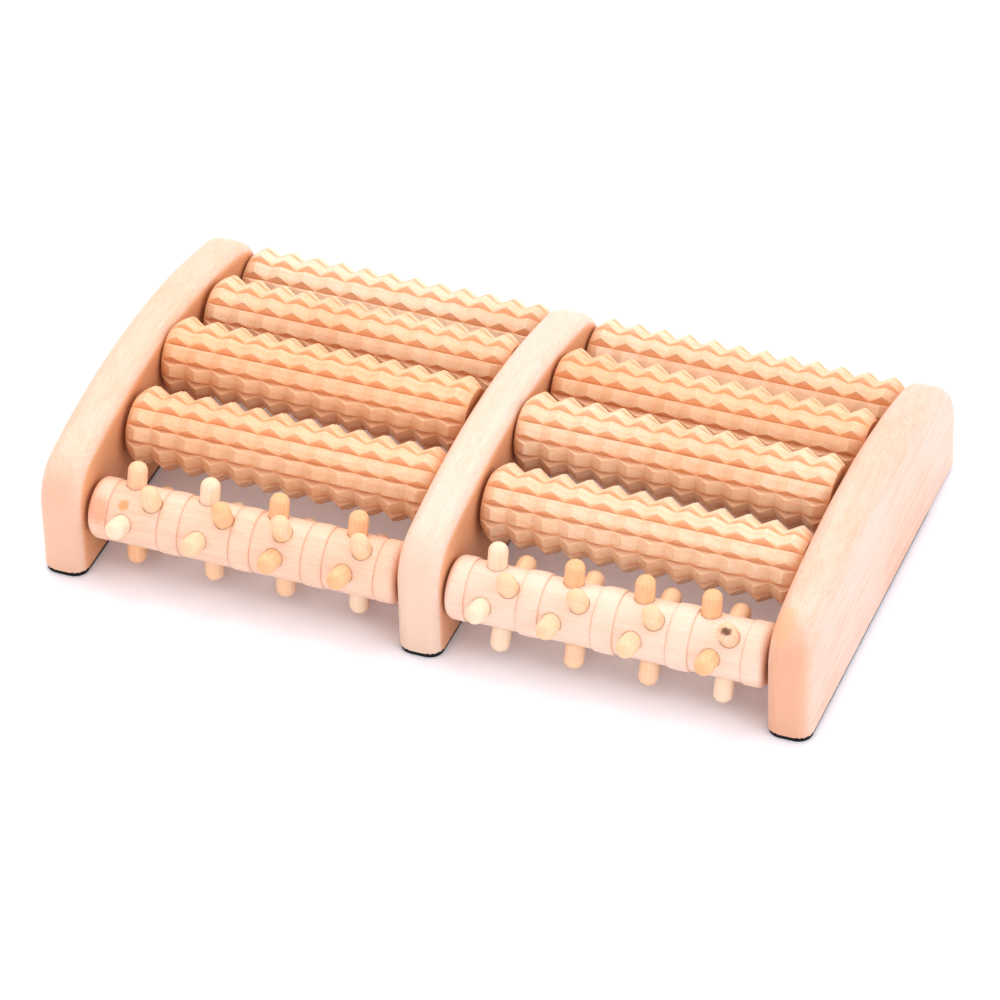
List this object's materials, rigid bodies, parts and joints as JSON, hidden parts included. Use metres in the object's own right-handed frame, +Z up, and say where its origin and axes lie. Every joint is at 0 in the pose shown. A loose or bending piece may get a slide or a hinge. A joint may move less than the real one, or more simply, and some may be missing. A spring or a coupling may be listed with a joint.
{
  "type": "foot massage roller",
  "caption": "Wooden foot massage roller: two banks of knurled rollers and a row of pegged rollers turn freely on steel axles between arched wooden panels with black anti-slip foot strips.",
  "frame": {"origin": "the centre of the centre panel's foot strip underside, on the ground, midway along the panels", "axes": "+X along the roller axles, to the right when the pegged row faces the viewer; +Y from the pegged front row to the back row; +Z up, away from the floor"},
  "size_m": [0.282, 0.1719, 0.0545],
  "materials": {
    "panel_wood": "sanded satin",
    "roller_wood": "raw, sanded",
    "peg_wood": "raw, sanded",
    "foot_rubber": "matte",
    "axle_steel": "drawn rod"
  },
  "bodies": {
    "root": {"side_panel_left": "panel_wood", "side_panel_center": "panel_wood", "side_panel_right": "panel_wood", "foot_strip_left": "foot_rubber", "foot_strip_center": "foot_rubber", "foot_strip_right": "foot_rubber", "axle_row_1": "axle_steel", "axle_row_2": "axle_steel", "axle_row_3": "axle_steel", "axle_row_4": "axle_steel", "axle_row_5": "axle_steel"},
    "roller_left_1": {"peg_roller_left": "peg_wood"},
    "roller_left_2": {"knurled_roller_left_row_2": "roller_wood"},
    "roller_left_3": {"knurled_roller_left_row_3": "roller_wood"},
    "roller_left_4": {"knurled_roller_left_row_4": "roller_wood"},
    "roller_left_5": {"knurled_roller_left_row_5": "roller_wood"},
    "roller_right_1": {"peg_roller_right": "peg_wood"},
    "roller_right_2": {"knurled_roller_right_row_2": "roller_wood"},
    "roller_right_3": {"knurled_roller_right_row_3": "roller_wood"},
    "roller_right_4": {"knurled_roller_right_row_4": "roller_wood"},
    "roller_right_5": {"knurled_roller_right_row_5": "roller_wood"}
  },
  "joints": [
    {"name": "spin_left_1", "type": "hinge", "parent": "root", "child": "roller_left_1", "pos_m": [-0.0665, -0.0692, 0.0235], "axis": [1, 0, 0], "continuous": true},
    {"name": "spin_left_2", "type": "hinge", "parent": "root", "child": "roller_left_2", "pos_m": [-0.0665, -0.0346, 0.0348], "axis": [1, 0, 0], "continuous": true},
    {"name": "spin_left_3", "type": "hinge", "parent": "root", "child": "roller_left_3", "pos_m": [-0.0665, 0, 0.0403], "axis": [1, 0, 0], "continuous": true},
    {"name": "spin_left_4", "type": "hinge", "parent": "root", "child": "roller_left_4", "pos_m": [-0.0665, 0.0346, 0.0348], "axis": [1, 0, 0], "continuous": true},
    {"name": "spin_left_5", "type": "hinge", "parent": "root", "child": "roller_left_5", "pos_m": [-0.0665, 0.0692, 0.0235], "axis": [1, 0, 0], "continuous": true},
    {"name": "spin_right_1", "type": "hinge", "parent": "root", "child": "roller_right_1", "pos_m": [0.0665, -0.0692, 0.0235], "axis": [1, 0, 0], "continuous": true},
    {"name": "spin_right_2", "type": "hinge", "parent": "root", "child": "roller_right_2", "pos_m": [0.0665, -0.0346, 0.0348], "axis": [1, 0, 0], "continuous": true},
    {"name": "spin_right_3", "type": "hinge", "parent": "root", "child": "roller_right_3", "pos_m": [0.0665, 0, 0.0403], "axis": [1, 0, 0], "continuous": true},
    {"name": "spin_right_4", "type": "hinge", "parent": "root", "child": "roller_right_4", "pos_m": [0.0665, 0.0346, 0.0348], "axis": [1, 0, 0], "continuous": true},
    {"name": "spin_right_5", "type": "hinge", "parent": "root", "child": "roller_right_5", "pos_m": [0.0665, 0.0692, 0.0235], "axis": [1, 0, 0], "continuous": true}
  ]
}
